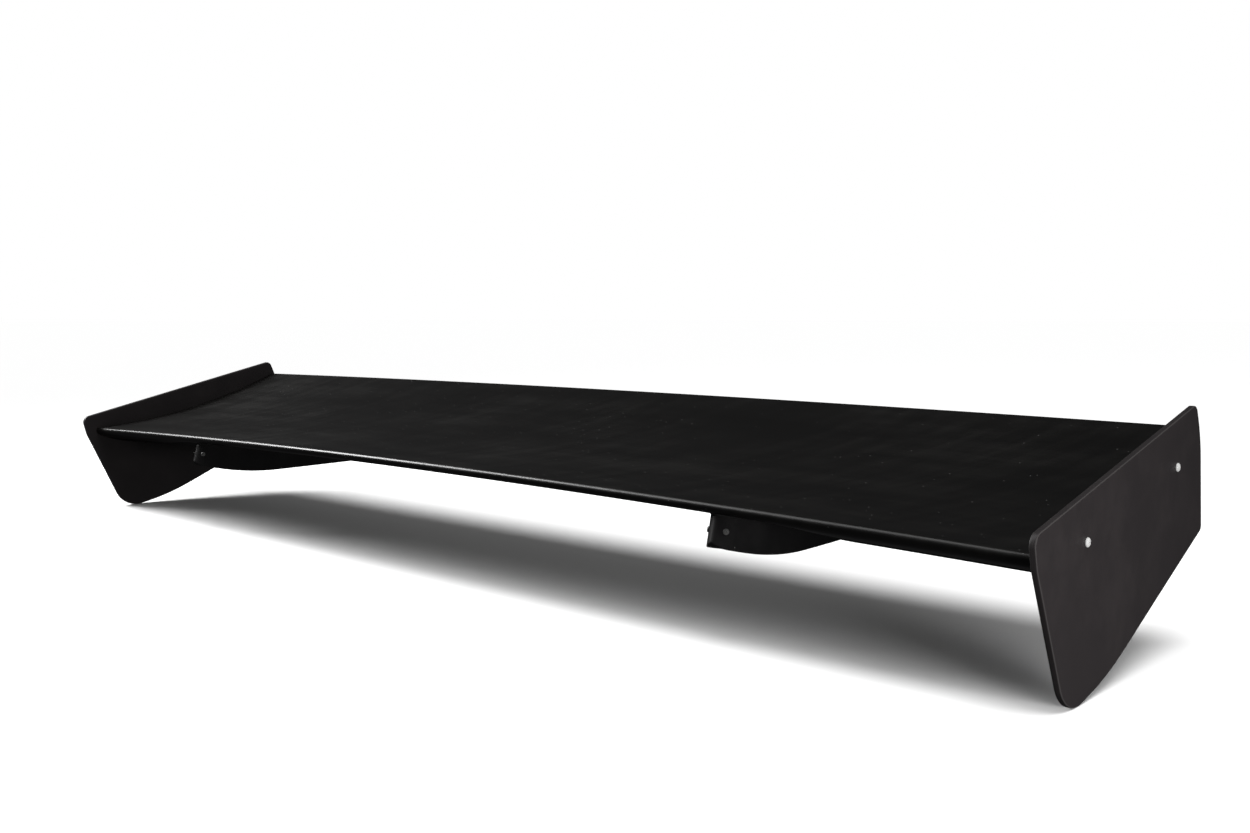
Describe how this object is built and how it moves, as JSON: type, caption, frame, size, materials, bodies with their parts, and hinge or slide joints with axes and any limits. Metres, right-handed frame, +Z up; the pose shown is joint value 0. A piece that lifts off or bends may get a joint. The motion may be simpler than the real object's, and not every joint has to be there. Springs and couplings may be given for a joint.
{
  "type": "racing rear wing",
  "caption": "Wide single-plane rear wing with drooping end plates on two low streamlined pedestals.",
  "frame": {"origin": "halfway between the two pedestal feet, on the deck plane that they are bolted down to", "axes": "+X along the span to the wing's own left-to-right as seen from the front, -Y towards the leading edge, +Z up"},
  "size_m": [1.5046, 0.3385, 0.214],
  "materials": {
    "black_laminate": "satin black gel coat on glass laminate",
    "plate_laminate": "satin black laminate plate",
    "raw_laminate": "raw cured glass laminate",
    "plywood": "sealed birch plywood",
    "aluminium": "milled",
    "stainless": "polished stainless steel",
    "zinc_steel": "zinc plated"
  },
  "bodies": {
    "root": {"blade_upper_skin": "black_laminate", "blade_lower_skin": "black_laminate", "front_spar": "raw_laminate", "rear_spar": "raw_laminate", "end_rib_left": "plywood", "pedestal_rib_left_inner": "plywood", "pedestal_rib_left_outer": "plywood", "pedestal_left": "black_laminate", "pedestal_web_left": "aluminium", "pedestal_foot_left": "aluminium", "end_plate_left": "plate_laminate", "cross_sleeve_left": "aluminium", "cross_screw_left_inner": "stainless", "cross_screw_left_outer": "stainless", "plate_screw_left_1": "stainless", "plate_insert_left_1": "zinc_steel", "web_bolt_left_1": "zinc_steel", "web_nut_left_1": "zinc_steel", "foot_pin_left_1": "stainless", "plate_screw_left_2": "stainless", "plate_insert_left_2": "zinc_steel", "web_bolt_left_2": "zinc_steel", "web_nut_left_2": "zinc_steel", "foot_pin_left_2": "stainless", "end_rib_right": "plywood", "pedestal_rib_right_inner": "plywood", "pedestal_rib_right_outer": "plywood", "pedestal_right": "black_laminate", "pedestal_web_right": "aluminium", "pedestal_foot_right": "aluminium", "end_plate_right": "plate_laminate", "cross_sleeve_right": "aluminium", "cross_screw_right_inner": "stainless", "cross_screw_right_outer": "stainless", "plate_screw_right_1": "stainless", "plate_insert_right_1": "zinc_steel", "web_bolt_right_1": "zinc_steel", "web_nut_right_1": "zinc_steel", "foot_pin_right_1": "stainless", "plate_screw_right_2": "stainless", "plate_insert_right_2": "zinc_steel", "web_bolt_right_2": "zinc_steel", "web_nut_right_2": "zinc_steel", "foot_pin_right_2": "stainless"}
  },
  "joints": []
}
